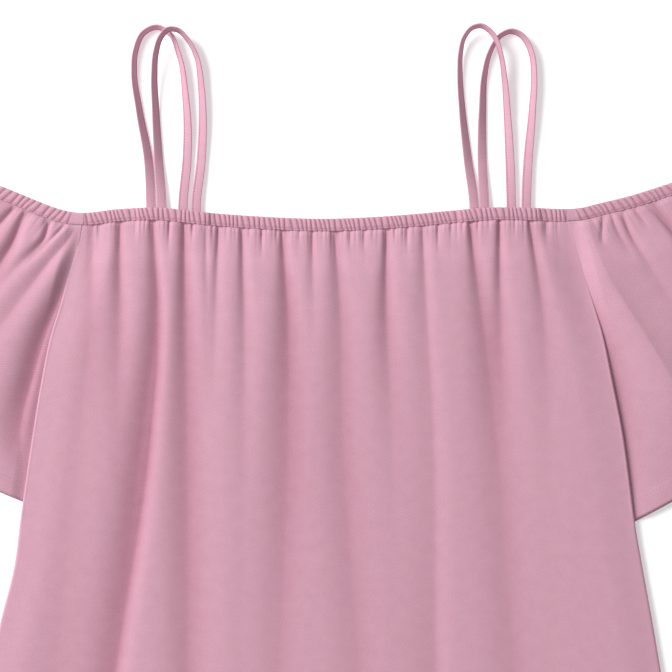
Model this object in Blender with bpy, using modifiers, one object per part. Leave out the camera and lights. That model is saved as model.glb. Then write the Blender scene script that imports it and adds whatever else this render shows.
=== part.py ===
"""An off-shoulder mini dress laid flat on a surface, face up.

It is a gathered front and back panel, two raglan sleeves folded over at their outer edges, a
narrow elastic casing round the neckline and four ribbon straps, two to a side, that stand half on
edge above the neckline. The hem points to -Y, the straps to +Y, and the back panel rests on z = 0.

All sizes here are millimetres. "across" is the distance to the right of the centre front, "up" is
the distance above the middle of the neckline, and "down" is the same with its sign turned.
"""

import math

import bmesh
import bpy
import numpy as np

MM = 0.001

# Driving dimensions
BODY_LENGTH = 750.0
CLOTH = 1.2
SEAM_GAP = 0.3
CASING_WIDTH = 9.6
CASING_THICKNESS = 2.4
CASING_CHAMFER = 2.2
RIBBON_WIDTH = 7.4
RIBBON_THICKNESS = 1.4
STRAP_TOP = 152.9
PUFF = 5.5
PUFF_REACH = 26.0
GATHERED = 0.25
GATHER_REACH = 35.0
SLEEVE_FOLD_REACH = 14.0
FLAT_MARGIN = 8.0

# Heights of the layers above the surface, at the middle of each wall
BACK_LEVEL = CLOTH / 2
FRONT_LEVEL = CLOTH + SEAM_GAP + CLOTH / 2
BACK_CASING_LEVEL = CASING_THICKNESS / 2
STRAP_FOOT = CASING_THICKNESS + SEAM_GAP
FRONT_CASING_LEVEL = CASING_THICKNESS + SEAM_GAP + CASING_THICKNESS / 2
NECK_LIFT = 1.4
NECK_LIFT_REACH = 25.0

# The places along the neckline where the raglan seams meet it, and its folded ends
LEFT_SEAM = -190.0
RIGHT_SEAM = 186.0
NECK_END = 304.0

# The neckline's upper edge. Columns: across, up
NECKLINE = np.array([
    (-304, 41.5), (-280, 33.8), (-255, 25.4), (-240, 19.4), (-223, 12.4), (-207, 6.8),
    (-197, 5.0), (-190, 4.7), (-165, 7.4), (-130, 8.4), (-100, 5.3), (-60, 2.2), (0, 0),
    (60, 3.0), (100, 6.6), (130, 8.7), (165, 8.2), (186, 7.7), (197, 8.4), (213, 12.2),
    (236, 17.8), (260, 25.3), (280, 32.0), (304, 40.5),
])

# The body's side edges, raglan seam above and side seam below. Columns: down, left, right
BODY_SIDES = np.array([
    (-2, -190.0, 186.0), (13, -192.7, 189.9), (28, -196.6, 194.6), (48, -202.8, 200.8),
    (72, -208.9, 207.7), (92, -215.4, 213.9), (130, -223.4, 222.2), (172, -230.4, 230.6),
    (204, -235.2, 235.2), (237, -239.9, 239.5), (270, -244.4, 245.3), (314, -255.5, 253.4),
    (360, -265.0, 261.4), (500, -291.0, 287.5), (620, -312.0, 310.0), (724, -330.0, 330.0),
])

# The sleeves. Columns: side, seam across, hem corner down at the body, then the foot of the
# outer fold, across and up, and how far the fold and the hem bow outward
SLEEVES = {
    "left_sleeve": (-1, LEFT_SEAM, 220.7, -392.0, -142.0, 5.0, 4.0),
    "right_sleeve": (1, RIGHT_SEAM, 236.7, 392.0, -142.0, 5.0, 4.0),
}
SLEEVE_LENGTH = 200.0

# Depths down the front where the body's folds are given
FOLD_STATIONS = (5, 70, 165, 350, 735)

# The front's troughs between its folds. Columns: across at the five stations, depth at the
# five stations, half width at the neck and at the hem
FRONT_TROUGHS = np.array([
    (-186, -188, -197, -215, -262, 0.6, 0.8, 1.6, 2.4, 2.6, 7, 22),
    (-163, -164, -165, -166, -167, 2.2, 1.4, 0.0, 0.0, 0.0, 6, 14),
    (-138, -134, -141, -167, -224, 3.4, 4.4, 4.6, 3.6, 3.2, 6, 17),
    (-113, -111, -111, -110, -110, 3.4, 4.2, 4.0, 3.2, 3.0, 6, 18),
    (-86, -89, -90, -90, -90, 2.0, 1.2, 0.0, 0.0, 0.0, 6, 14),
    (-68, -66, -66, -68, -72, 2.2, 2.2, 1.4, 0.8, 1.6, 6, 16),
    (-36, -34, -34, -40, -50, 2.8, 3.6, 3.2, 2.2, 2.8, 7, 20),
    (-12, -11, -10, -9, -6, 1.4, 0.6, 0.2, 0.6, 1.8, 6, 16),
    (5, 8, 12, 23, 46, 1.8, 2.4, 2.2, 2.2, 2.8, 6, 19),
    (46, 47, 49, 54, 66, 3.0, 3.0, 1.4, 0.4, 1.4, 6, 16),
    (73, 76, 81, 83, 96, 1.4, 1.4, 2.2, 2.4, 2.6, 6, 18),
    (110, 119, 129, 144, 181, 3.0, 2.8, 2.2, 2.2, 3.0, 6, 20),
    (133, 135, 137, 139, 144, 2.6, 1.4, 0.0, 0.0, 0.0, 6, 14),
    (157, 168, 172, 176, 228, 2.6, 1.6, 0.6, 0.6, 2.2, 6, 20),
])

# Sleeve folds raised on the front layer. Columns: start across, start up, end across, end up,
# height, half width
LEFT_SLEEVE_FOLDS = np.array([
    (-202, -10, -262, -96, 3.6, 9),
    (-204, -26, -249, -128, 3.0, 9),
    (-222, 0, -300, -66, 3.0, 9),
    (-243, 8, -330, -40, 2.8, 10),
    (-266, 16, -345, -4, 2.6, 10),
    (-286, 22, -330, 6, 1.8, 9),
])
RIGHT_SLEEVE_FOLDS = np.array([
    (204, -6, 305, -186, 4.2, 11),
    (236, 4, 318, -96, 2.6, 11),
    (262, 12, 340, -50, 2.4, 10),
    (286, 20, 335, 2, 2.0, 9),
])

# The straps, foot to foot over the top. Columns: across, up, tilt in degrees, clear height
STRAPS = {
    "strap_left_outer": np.array([
        (-138, 0.8, 0, STRAP_FOOT), (-138, 9, 0, STRAP_FOOT), (-140, 46, 22, 0),
        (-147, 85, 40, 0), (-151, 114, 52, 0), (-150, 130, 52, 0), (-143, 145.5, 44, 0),
        (-133, 149.6, 38, 0), (-123, 144, 36, 0), (-116, 128, 46, 0), (-111, 96, 26, 0),
        (-109.4, 69, 12, 0), (-110, 46, 4, 0), (-113, 9, 0, STRAP_FOOT), (-113, 0.8, 0, STRAP_FOOT),
    ]),
    "strap_left_inner": np.array([
        (-129.5, 0.8, 0, STRAP_FOOT), (-129.5, 9, 0, STRAP_FOOT), (-132, 46, 16, 0),
        (-134.2, 85, 20, 0), (-135, 112, 36, 2.4), (-133.4, 129, 46, 5.4), (-129.5, 140.5, 44, 6.6),
        (-123.5, 146.6, 38, 6.6), (-116.5, 146.4, 40, 5.2), (-109, 139.4, 46, 3), (-102.8, 128, 46, 1),
        (-98.7, 104, 24, 0), (-97.5, 78, 10, 0), (-98.8, 46, 2, 0), (-102.7, 9, 0, STRAP_FOOT),
        (-102.7, 0.8, 0, STRAP_FOOT),
    ]),
    "strap_right_inner": np.array([
        (114.4, 0.8, 0, STRAP_FOOT), (114.4, 9, 0, STRAP_FOOT), (109.7, 46, 8, 0),
        (105.2, 85, 14, 0), (103.4, 112, 44, 0), (103.8, 129, 48, 1), (106.6, 141, 46, 3),
        (112.4, 148, 44, 5), (119, 149.5, 44, 6.4), (125.5, 146, 48, 6.8), (131, 138.6, 50, 6.8),
        (134.8, 127.4, 52, 5.4), (138, 108, 44, 2.4), (140.4, 80, 28, 0), (142.4, 46, 8, 0),
        (143.4, 9, 0, STRAP_FOOT), (143.4, 0.8, 0, STRAP_FOOT),
    ]),
    "strap_right_outer": np.array([
        (122.5, 0.8, 0, STRAP_FOOT), (122.5, 9, 0, STRAP_FOOT), (120.9, 46, 2, 0),
        (121.1, 85, 10, 0), (122.6, 112, 36, 0), (126, 127.6, 40, 0), (130.4, 137, 38, 0),
        (136.4, 143.8, 40, 0), (143.9, 146.4, 42, 0), (150.6, 143.8, 44, 0), (156, 137.2, 46, 0),
        (159.6, 128, 48, 0), (161.2, 112, 48, 0), (159.9, 85, 36, 0), (156.7, 46, 6, 0),
        (155.1, 9, 0, STRAP_FOOT), (155.1, 0.8, 0, STRAP_FOOT),
    ]),
}

# How finely each piece is divided
SEAM_ROWS = 10
HEM_ROWS = 8
FRONT_COLUMNS = 88
BACK_COLUMNS = 32
SLEEVE_COLUMNS = (22, 4, 10)
FRONT_RUCHES = 96
SLEEVE_RUCHES = 20
RUCHE_HEIGHT = 0.7
STEPS_PER_STRAP_ROW = 3

DUSTY_PINK = (0.694, 0.407, 0.508, 1)
CENTRE_UP = (STRAP_TOP - BODY_LENGTH) / 2


def through(keys, values, at):
    """A smooth curve through rows: cubic pieces whose slope at a row comes from its neighbours."""
    keys = np.asarray(keys, float)
    values = np.asarray(values, float)
    at = np.clip(at, keys[0], keys[-1])
    slopes = np.gradient(values, keys)
    i = np.clip(np.searchsorted(keys, at) - 1, 0, len(keys) - 2)
    span = keys[i + 1] - keys[i]
    t = (at - keys[i]) / span
    start = (1 + 2 * t) * (1 - t) ** 2 * values[i] + t * (1 - t) ** 2 * span * slopes[i]
    return start + t * t * (3 - 2 * t) * values[i + 1] - t * t * (1 - t) * span * slopes[i + 1]


def ease(t):
    """0 at 0 and below, 1 at 1 and above, smooth between."""
    t = np.clip(t, 0, 1)
    return t * t * (3 - 2 * t)


def neck_up(across):
    return through(NECKLINE[:, 0], NECKLINE[:, 1], across)


def neck_offset(across, distance):
    """The neckline's point at `across`, moved `distance` square to the neckline, down the body."""
    slope = (neck_up(across + 0.5) - neck_up(across - 0.5)) / 1.0
    length = np.hypot(1, slope)
    return across + distance * slope / length, neck_up(across) - distance / length


def body_side(down, column):
    return through(BODY_SIDES[:, 0], BODY_SIDES[:, column], down)


def hem_down(across):
    rise = BODY_LENGTH - BODY_SIDES[-1, 0]
    return BODY_LENGTH - rise * (across / BODY_SIDES[-1, 2]) ** 2


def neck_down(across):
    return CASING_WIDTH + SEAM_GAP - neck_up(np.clip(across, LEFT_SEAM, RIGHT_SEAM))


def seam_rows(seam, corner_down):
    """The depths of the rows that body and sleeve share from the neckline to the sleeve's hem."""
    return np.linspace(neck_down(seam), corner_down, SEAM_ROWS + 1)


def body_grid(columns):
    """Points over a body panel: even from side to side, with the sleeves' rows along the seams."""
    edges = []
    for _, seam, corner_down, *_ in SLEEVES.values():
        below = np.linspace(corner_down, BODY_SIDES[-1, 0], HEM_ROWS + 1)[1:]
        edges.append(np.concatenate([seam_rows(seam, corner_down), below])[:, None])
    left_down, right_down = edges
    u = np.linspace(0, 1, columns + 1)[None, :]
    left = body_side(left_down, 1)
    across = left + (body_side(right_down, 2) - left) * u
    down = left_down + (right_down - left_down) * u
    v = (down - down[0]) / (down[-1] - down[0])
    down = down + (1 - v) * (neck_down(across) - down[0]) + v * (hem_down(across) - down[-1])
    return across, down, down - neck_down(across)


def front_height(across, down, below_neck):
    """How far the front stands off the back: a puff less its troughs, flat at the sides and low
    where it is gathered into the casing."""
    to_side = np.minimum(across - body_side(down, 1), body_side(down, 2) - across)
    height = np.full(across.shape, PUFF)
    for row in FRONT_TROUGHS:
        centre = through(FOLD_STATIONS, row[0:5], down)
        depth = np.maximum(through(FOLD_STATIONS, row[5:10], down), 0)
        half_width = row[10] + (row[11] - row[10]) * ease(down / BODY_LENGTH)
        height = height - depth * np.exp(-((across - centre) / half_width) ** 2)
    height = np.maximum(height, 0.2) * ease((to_side - FLAT_MARGIN) / PUFF_REACH)
    height = height * (GATHERED + (1 - GATHERED) * ease(below_neck / GATHER_REACH))
    return height + NECK_LIFT * (1 - ease(below_neck / NECK_LIFT_REACH))


def sleeve_height(across, up, folds, to_edge, below_neck):
    """Folds raised along straight runs, fading to nothing at the sleeve's edges."""
    height = np.zeros(across.shape)
    for x0, y0, x1, y1, rise, half_width in folds:
        length = math.hypot(x1 - x0, y1 - y0)
        along = ((across - x0) * (x1 - x0) + (up - y0) * (y1 - y0)) / length ** 2
        aside = ((across - x0) * (y1 - y0) - (up - y0) * (x1 - x0)) / length
        ends = ease((along + 0.25) / 0.4) * ease((1.35 - along) / 0.5)
        height = height + rise * ends * np.exp(-(aside / half_width) ** 2)
    height = height * ease((to_edge - FLAT_MARGIN) / SLEEVE_FOLD_REACH)
    return height + NECK_LIFT * (1 - ease(below_neck / NECK_LIFT_REACH))


def sleeve_patch(name, u, v):
    """Points over one layer of a sleeve: u from the body to the outer fold, v from neck to hem."""
    side, seam, corner_down, foot_across, foot_up, fold_bow, hem_bow = SLEEVES[name]
    column = 1 if side < 0 else 2
    clear = CASING_WIDTH + SEAM_GAP

    def neck(s):
        start = seam + side * SEAM_GAP
        return neck_offset(start + (side * NECK_END - start) * s, clear)

    def inner(s):
        down = neck_down(seam) + (corner_down - neck_down(seam)) * s
        return body_side(down, column) + side * SEAM_GAP, -down

    def outer(s):
        bow = fold_bow * 4 * s * (1 - s)
        end_across, end_up = neck(np.ones(1))
        return (end_across + (foot_across - end_across) * s + side * bow,
                end_up + (foot_up - end_up) * s + bow * 0.4)

    def hem(s):
        start_across, start_up = inner(np.ones(1))
        bow = hem_bow * 4 * s * (1 - s)
        return (start_across + (foot_across - start_across) * s,
                start_up + (foot_up - start_up) * s - bow)

    points = []
    for k in range(2):
        corners = [edge(np.full(1, s))[k] for edge in (neck, hem) for s in (0.0, 1.0)]
        points.append((1 - v) * neck(u)[k] + v * hem(u)[k] + (1 - u) * inner(v)[k] + u * outer(v)[k]
                      - (1 - v) * ((1 - u) * corners[0] + u * corners[1])
                      - v * ((1 - u) * corners[2] + u * corners[3]))
    return points[0], points[1]


def material(name, colour, roughness):
    made = bpy.data.materials.new(name)
    made.use_nodes = True
    shader = made.node_tree.nodes["Principled BSDF"]
    shader.inputs["Base Color"].default_value = colour
    shader.inputs["Roughness"].default_value = roughness
    shader.inputs["Metallic"].default_value = 0
    return made


def finish(piece, name, dress, roughness=0.85):
    piece.name = name
    piece.data.name = name
    for collection in list(piece.users_collection):
        collection.objects.unlink(piece)
    dress.objects.link(piece)
    piece.data.materials.append(material(name + "_cloth", DUSTY_PINK, roughness))
    piece.data.shade_smooth()


def sheet(name, across, up, level, dress):
    """A cloth wall: a grid placed on the wall's middle surface, thickened to both sides."""
    rows, columns = across.shape
    bpy.ops.mesh.primitive_grid_add(x_subdivisions=columns - 1, y_subdivisions=rows - 1, size=1)
    piece = bpy.context.object
    places = np.stack([across, up - CENTRE_UP, level], axis=-1)[::-1] * MM
    piece.data.vertices.foreach_set("co", places.reshape(-1).astype(np.float32))
    wall = piece.modifiers.new("Wall", "SOLIDIFY")
    wall.thickness = CLOTH * MM
    wall.offset = 0
    finish(piece, name, dress)


def loft(name, rings, dress, roughness=0.85):
    """A closed solid through equal rings of points, with a flat cap on each end."""
    count, sides, _ = rings.shape
    first = np.arange(count - 1)[:, None] * sides
    corner = np.arange(sides)[None, :]
    after = (corner + 1) % sides
    quads = np.stack([first + corner, first + after, first + sides + after, first + sides + corner], axis=-1)
    faces = quads.reshape(-1, 4).tolist()
    faces.append(list(range(sides))[::-1])
    faces.append(list(range((count - 1) * sides, count * sides)))
    mesh = bpy.data.meshes.new(name)
    places = (rings - np.array([0, CENTRE_UP, 0])) * MM
    mesh.from_pydata(places.reshape(-1, 3).tolist(), [], faces)
    shell = bmesh.new()
    shell.from_mesh(mesh)
    bmesh.ops.recalc_face_normals(shell, faces=shell.faces)
    shell.to_mesh(mesh)
    shell.free()
    piece = bpy.data.objects.new(name, mesh)
    dress.objects.link(piece)
    finish(piece, name, dress, roughness)


def casing_rings(across, level, turn, ruche):
    """Rings of the elastic casing along the neckline.

    A ring is six points: a flat inner face, two chamfered edges and a ruched outer face that
    points up on the front, outward at a folded end and down on the back, which `turn` gives as
    an angle from 0 to pi.
    """
    half = CASING_WIDTH / 2
    flat = half - CASING_CHAMFER
    centre_across, centre_up = neck_offset(across, half)
    edge_across, edge_up = neck_offset(across, CASING_WIDTH)
    square = np.stack([edge_across - centre_across, edge_up - centre_up, 0 * across], axis=-1) / half
    along = np.stack([-square[:, 1], square[:, 0], 0 * across], axis=-1)
    above = np.cos(turn)[:, None] * [[0, 0, 1]] + np.sin(turn)[:, None] * along
    centre = np.stack([centre_across, centre_up, level], axis=-1)
    thick = CASING_THICKNESS / 2
    shoulder = 0.2
    section = [(-half, -thick, 0.0), (-half, shoulder, 0.35), (-flat, thick, 1.0),
               (flat, thick, 1.0), (half, shoulder, 0.35), (half, -thick, 0.0)]
    rings = [centre + aside * square + (rise + share * ruche)[:, None] * above
             for aside, rise, share in section]
    return np.stack(rings, axis=1)


def front_casing(dress):
    """The front length of casing, arched over the straps' feet."""
    across = np.linspace(LEFT_SEAM + SEAM_GAP / 2, RIGHT_SEAM - SEAM_GAP / 2, 2 * FRONT_RUCHES + 1)
    over_feet = 0 * across
    for left, right in ((STRAPS["strap_left_outer"], STRAPS["strap_left_inner"]),
                        (STRAPS["strap_right_inner"], STRAPS["strap_right_outer"])):
        start = left[0, 0] - 2 * RIBBON_WIDTH
        end = right[-1, 0] + 2 * RIBBON_WIDTH
        over_feet = over_feet + ease((across - start) / RIBBON_WIDTH) * ease((end - across) / RIBBON_WIDTH)
    level = FRONT_CASING_LEVEL + (RIBBON_THICKNESS + SEAM_GAP) * over_feet
    ruche = RUCHE_HEIGHT * (np.arange(len(across)) % 2)
    loft("front_casing", casing_rings(across, level, 0 * across, ruche), dress)


def back_casing(dress):
    across = np.linspace(LEFT_SEAM + SEAM_GAP / 2, RIGHT_SEAM - SEAM_GAP / 2, BACK_COLUMNS + 1)
    level = np.full(len(across), BACK_CASING_LEVEL)
    turn = np.full(len(across), math.pi)
    loft("back_casing", casing_rings(across, level, turn, 0 * across), dress)


def sleeve_casing(name, side, seam, dress):
    """A sleeve's length of casing: out along the front, round the fold and back underneath."""
    start = seam + side * SEAM_GAP / 2
    end = side * NECK_END
    front = np.linspace(start, end, 2 * SLEEVE_RUCHES + 1)
    angles = np.linspace(0, math.pi, 7)[1:-1]
    radius = (FRONT_CASING_LEVEL - BACK_CASING_LEVEL) / 2
    back = np.linspace(end, start, 13)
    across = np.concatenate([front, end + side * radius * np.sin(angles), back])
    turn = np.concatenate([0 * front, angles, 0 * back + math.pi])
    level = BACK_CASING_LEVEL + radius * (1 + np.cos(turn))
    ruche = RUCHE_HEIGHT * (np.arange(len(across)) % 2) * (np.arange(len(across)) < len(front))
    loft(name, casing_rings(across, level, turn * side, ruche), dress)


def strap(name, rows, dress):
    """A flat ribbon along its path, turned half on edge where the table tilts it."""
    steps = np.concatenate([[0], np.cumsum(np.hypot(*np.diff(rows[:, :2], axis=0).T))])
    index = np.arange(len(rows))
    fine = np.linspace(0, len(rows) - 1, (len(rows) - 1) * STEPS_PER_STRAP_ROW + 1)
    at = np.interp(fine, index, steps)
    across, up = (through(steps, rows[:, k], at) for k in (0, 1))
    tilt, clear = (np.interp(at, steps, rows[:, k]) for k in (2, 3))
    tilt = np.radians(tilt)
    run = np.stack([np.gradient(across, at), np.gradient(up, at)], axis=-1)
    run = run / np.linalg.norm(run, axis=1, keepdims=True)
    outer = np.stack([-run[:, 1] * np.cos(tilt), run[:, 0] * np.cos(tilt), np.sin(tilt)], axis=-1)
    face = np.stack([run[:, 1] * np.sin(tilt), -run[:, 0] * np.sin(tilt), np.cos(tilt)], axis=-1)
    half_width = RIBBON_WIDTH / 2
    half_thick = RIBBON_THICKNESS / 2
    level = clear + half_width * np.sin(tilt) + half_thick * np.cos(tilt)
    centre = np.stack([across, up, level], axis=-1)
    corners = [(-half_width, -half_thick), (-half_width, half_thick),
               (half_width, half_thick), (half_width, -half_thick)]
    loft(name, np.stack([centre + a * outer + b * face for a, b in corners], axis=1), dress, 0.8)


def front_panel(dress):
    across, down, below_neck = body_grid(FRONT_COLUMNS)
    level = FRONT_LEVEL + front_height(across, down, below_neck)
    sheet("front_panel", across, -down, level, dress)


def back_panel(dress):
    across, down, _ = body_grid(BACK_COLUMNS)
    sheet("back_panel", across, -down, np.full(across.shape, BACK_LEVEL), dress)


def sleeve(name, folds, dress):
    """A sleeve cut flat and folded over: front layer, outer fold, back layer on the surface."""
    front_columns, turn_columns, back_columns = SLEEVE_COLUMNS
    side = SLEEVES[name][0]
    angles = np.linspace(0, math.pi, turn_columns + 2)[1:-1]
    front = np.linspace(0, 1, front_columns)
    back = np.linspace(1, 0, back_columns)
    u = np.concatenate([front, np.ones(turn_columns), back])
    turn = np.concatenate([0 * front, angles, 0 * back + math.pi])
    u, v = np.meshgrid(u, np.linspace(0, 1, SEAM_ROWS + 1))
    turn = np.broadcast_to(turn, u.shape)
    across, up = sleeve_patch(name, u, v)
    body_across, _ = sleeve_patch(name, 0 * u, v)
    fold_across, _ = sleeve_patch(name, 0 * u + 1, v)
    to_edge = np.minimum(np.abs(across - body_across), np.abs(fold_across - across))
    top = FRONT_LEVEL + sleeve_height(across, up, folds, to_edge, v * SLEEVE_LENGTH)
    level = BACK_LEVEL + (top - BACK_LEVEL) * (1 + np.cos(turn)) / 2
    sheet(name, across + side * np.sin(turn), up, level, dress)


def build():
    for thing in list(bpy.data.objects):
        bpy.data.objects.remove(thing)
    dress = bpy.data.collections.new("off_shoulder_mini_dress")
    bpy.context.scene.collection.children.link(dress)
    back_panel(dress)
    front_panel(dress)
    sleeve("left_sleeve", LEFT_SLEEVE_FOLDS, dress)
    sleeve("right_sleeve", RIGHT_SLEEVE_FOLDS, dress)
    front_casing(dress)
    back_casing(dress)
    sleeve_casing("left_sleeve_casing", -1, LEFT_SEAM, dress)
    sleeve_casing("right_sleeve_casing", 1, RIGHT_SEAM, dress)
    for name, rows in STRAPS.items():
        strap(name, rows, dress)


build()
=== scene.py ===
"""The looks of an off-shoulder mini dress, laid flat and face up on a pale surface.

Sizes are millimetres in the dress's own plan: "across" to the right of the centre front, "up"
above the middle of the neckline, "down" the same with its sign turned, "level" above the surface.
"""

import math

import bmesh
import bpy
import numpy as np
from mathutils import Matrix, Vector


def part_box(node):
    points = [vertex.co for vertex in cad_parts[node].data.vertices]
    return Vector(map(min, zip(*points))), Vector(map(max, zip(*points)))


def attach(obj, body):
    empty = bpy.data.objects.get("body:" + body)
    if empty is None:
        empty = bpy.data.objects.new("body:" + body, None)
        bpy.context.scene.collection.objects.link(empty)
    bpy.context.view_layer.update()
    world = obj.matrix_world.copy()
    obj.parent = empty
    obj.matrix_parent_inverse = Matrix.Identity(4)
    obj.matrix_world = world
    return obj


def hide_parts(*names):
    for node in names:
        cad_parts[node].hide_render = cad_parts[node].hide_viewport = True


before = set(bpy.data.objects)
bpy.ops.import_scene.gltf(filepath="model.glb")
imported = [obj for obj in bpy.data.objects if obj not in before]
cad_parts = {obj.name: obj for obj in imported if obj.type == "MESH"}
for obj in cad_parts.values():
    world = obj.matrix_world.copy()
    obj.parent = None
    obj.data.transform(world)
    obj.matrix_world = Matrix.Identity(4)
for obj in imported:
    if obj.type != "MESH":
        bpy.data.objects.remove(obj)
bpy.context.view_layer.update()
MM = 0.001

# The studio: a sheet of white acrylic, a camera looking straight down with a long lens, so that a
# pixel is 0.78 mm on the cloth, one broad lamp from the upper left and a plain white surround.
PIXEL = 0.78
PHOTO_SIDE = 672
NECK_PIXEL = (327.5, 218.6)
LENS = 100.0
SENSOR = 36.0
FLOOR_WHITE = 0.93
FLOOR_GLOW = 0.32
KEY_AZIMUTH = 152.0
KEY_ELEVATION = 38.0
KEY_DISTANCE = 4.5
KEY_SIZE = 2.4
KEY_POWER = 232.0
SURROUND = 0.37

neck_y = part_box("front_panel")[0].y / MM + 750.0


def plan_to_world(across, up, level):
    """World metres of points given in the dress's plan: up is measured from the neckline."""
    across, up, level = np.broadcast_arrays(across, up, level)
    return np.stack([across, up + neck_y, level], axis=-1) * MM


scene = bpy.context.scene
aim_across = (PHOTO_SIDE / 2 - NECK_PIXEL[0]) * PIXEL
aim_up = (NECK_PIXEL[1] - PHOTO_SIDE / 2) * PIXEL
camera = bpy.data.objects.new("camera", bpy.data.cameras.new("camera"))
camera.data.lens = LENS
camera.data.sensor_width = SENSOR
camera.location = plan_to_world(aim_across, aim_up, PHOTO_SIDE * PIXEL * LENS / SENSOR + 5)
scene.collection.objects.link(camera)
scene.camera = camera

floor_mesh = bpy.data.meshes.new("floor")
floor_corners = plan_to_world(np.array([-3000, 3000, 3000, -3000]), np.array([-3300, -3300, 2700, 2700]), -0.3)
floor_mesh.from_pydata(floor_corners.tolist(), [], [(0, 1, 2, 3)])
floor = bpy.data.objects.new("floor", floor_mesh)
acrylic = bpy.data.materials.new("white_acrylic")
acrylic.use_nodes = True
acrylic_shader = acrylic.node_tree.nodes["Principled BSDF"]
acrylic_shader.inputs["Base Color"].default_value = (FLOOR_WHITE, FLOOR_WHITE, FLOOR_WHITE, 1)
acrylic_shader.inputs["Roughness"].default_value = 1.0
acrylic_shader.inputs["Specular IOR Level"].default_value = 0.0
acrylic_shader.inputs["Emission Color"].default_value = (1, 1, 1, 1)
acrylic_shader.inputs["Emission Strength"].default_value = FLOOR_GLOW
floor_mesh.materials.append(acrylic)
scene.collection.objects.link(floor)

key = bpy.data.objects.new("key", bpy.data.lights.new("key", "AREA"))
key.data.shape = "DISK"
key.data.size = KEY_SIZE
key.data.energy = KEY_POWER
turn = math.radians(KEY_AZIMUTH)
rise = math.radians(KEY_ELEVATION)
toward_key = np.array([math.cos(turn) * math.cos(rise), math.sin(turn) * math.cos(rise), math.sin(rise)])
key.location = plan_to_world(aim_across, aim_up, 0) + KEY_DISTANCE * toward_key
key.rotation_euler = (math.pi / 2 - rise, 0, turn + math.pi / 2)
scene.collection.objects.link(key)

scene.world = bpy.data.worlds.new("surround")
scene.world.use_nodes = True
scene.world.node_tree.nodes["Background"].inputs["Color"].default_value = (1, 1, 1, 1)
scene.world.node_tree.nodes["Background"].inputs["Strength"].default_value = SURROUND
scene.view_settings.view_transform = "Standard"

# The cloth: a light matt crepe of one dusty pink, used for every piece. Its twisted yarns give a
# fine grain with faint ribs that cross slantwise, and painted shade deepens the pink inside the folds.
PINK = (0.655, 0.368, 0.462)
# The darker pink is the colour of the painted shade in the folds.
FOLD_SHADE_PINK = (0.40, 0.145, 0.215)
BASE_SHADE = 0.10
GRAIN = 1.5
RIB = 1.9
RIB_SLANT = 52.0
BLOTCH = 9.0
GRAIN_HEIGHT = 0.09
WALL = 0.7


class Wire:
    """A shader socket that adds a Math node for each operator used on it."""

    def __init__(self, tree, socket):
        self.tree = tree
        self.socket = socket

    def math(self, operation, first, second):
        node = self.tree.nodes.new("ShaderNodeMath")
        node.operation = operation
        for socket, value in zip(node.inputs, (first, second)):
            if isinstance(value, Wire):
                self.tree.links.new(value.socket, socket)
            else:
                socket.default_value = value
        return Wire(self.tree, node.outputs[0])

    def __add__(self, other):
        return self.math("ADD", self, other)

    def __radd__(self, other):
        return self.math("ADD", other, self)

    def __sub__(self, other):
        return self.math("SUBTRACT", self, other)

    def __rsub__(self, other):
        return self.math("SUBTRACT", other, self)

    def __mul__(self, other):
        return self.math("MULTIPLY", self, other)

    def __rmul__(self, other):
        return self.math("MULTIPLY", other, self)


class Dye:
    """A material's node tree: `node` adds one node with its settings, values and links."""

    def __init__(self, name):
        self.material = bpy.data.materials.new(name)
        self.material.use_nodes = True
        self.tree = self.material.node_tree
        self.shader = self.tree.nodes["Principled BSDF"]

    def node(self, kind, settings=None, output=0, **inputs):
        made = self.tree.nodes.new("ShaderNode" + kind)
        for setting, value in (settings or {}).items():
            setattr(made, setting, value)
        for label, value in inputs.items():
            socket = made.inputs[label]
            if isinstance(value, Wire):
                self.tree.links.new(value.socket, socket)
            else:
                socket.default_value = value
        return Wire(self.tree, made.outputs[output])

    def feed(self, label, wire):
        self.tree.links.new(wire.socket, self.shader.inputs[label])


def crepe(name):
    """The pink crepe, its grain placed by the "cloth" UV map, which is in millimetres.

    Colour runs from the pink to a darker pink with a share that is the painted shade attribute
    (0 on open cloth, 1 at the bottom of a tight fold) plus a little of the ribs, grain and blotches.
    The relief is two sine ribs that cross, bent by noise, plus fine noise.
    """
    dye = Dye(name)
    place = dye.node("UVMap", {"uv_map": "cloth"})
    ribs = []
    for slant in (RIB_SLANT, -RIB_SLANT):
        turned = dye.node("Mapping", Vector=place, Rotation=(0, 0, math.radians(slant)))
        ribs.append(dye.node("TexWave", {"wave_type": "BANDS"}, Vector=turned,
                             Scale=math.pi / 10 / RIB, Distortion=3.0, Detail=1.0))
    crossing = ribs[0] * 0.6 + ribs[1] * 0.4
    grain = dye.node("TexNoise", Vector=place, Scale=1 / GRAIN, Detail=2.0, Roughness=0.6)
    blotch = dye.node("TexNoise", Vector=place, Scale=1 / BLOTCH, Detail=2.0)
    painted_shade = dye.node("Attribute", {"attribute_name": "painted_shade"}, output=2)
    speckle = (crossing - 0.5) * 0.14 + (grain - 0.5) * 0.30 + (blotch - 0.5) * 0.22
    # Mix share: painted shade in the folds, plus random tone from the ribs, grain and blotches.
    shade_and_speckle = painted_shade * 0.85 + speckle + BASE_SHADE
    colour = dye.node("MixRGB", {"use_clamp": True}, Fac=shade_and_speckle, Color1=PINK + (1,), Color2=FOLD_SHADE_PINK + (1,))
    dye.feed("Base Color", colour)
    relief = crossing * 0.45 + grain * 0.55
    dye.feed("Normal", dye.node("Bump", Strength=1.0, Distance=GRAIN_HEIGHT * MM, Height=relief))
    dye.shader.inputs["Roughness"].default_value = 0.85
    dye.shader.inputs["Specular IOR Level"].default_value = 0.18
    dye.shader.inputs["Sheen Weight"].default_value = 0.08
    dye.shader.inputs["Sheen Roughness"].default_value = 0.5
    dye.shader.inputs["Sheen Tint"].default_value = (1.0, 0.86, 0.91, 1)
    return dye.material


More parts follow.
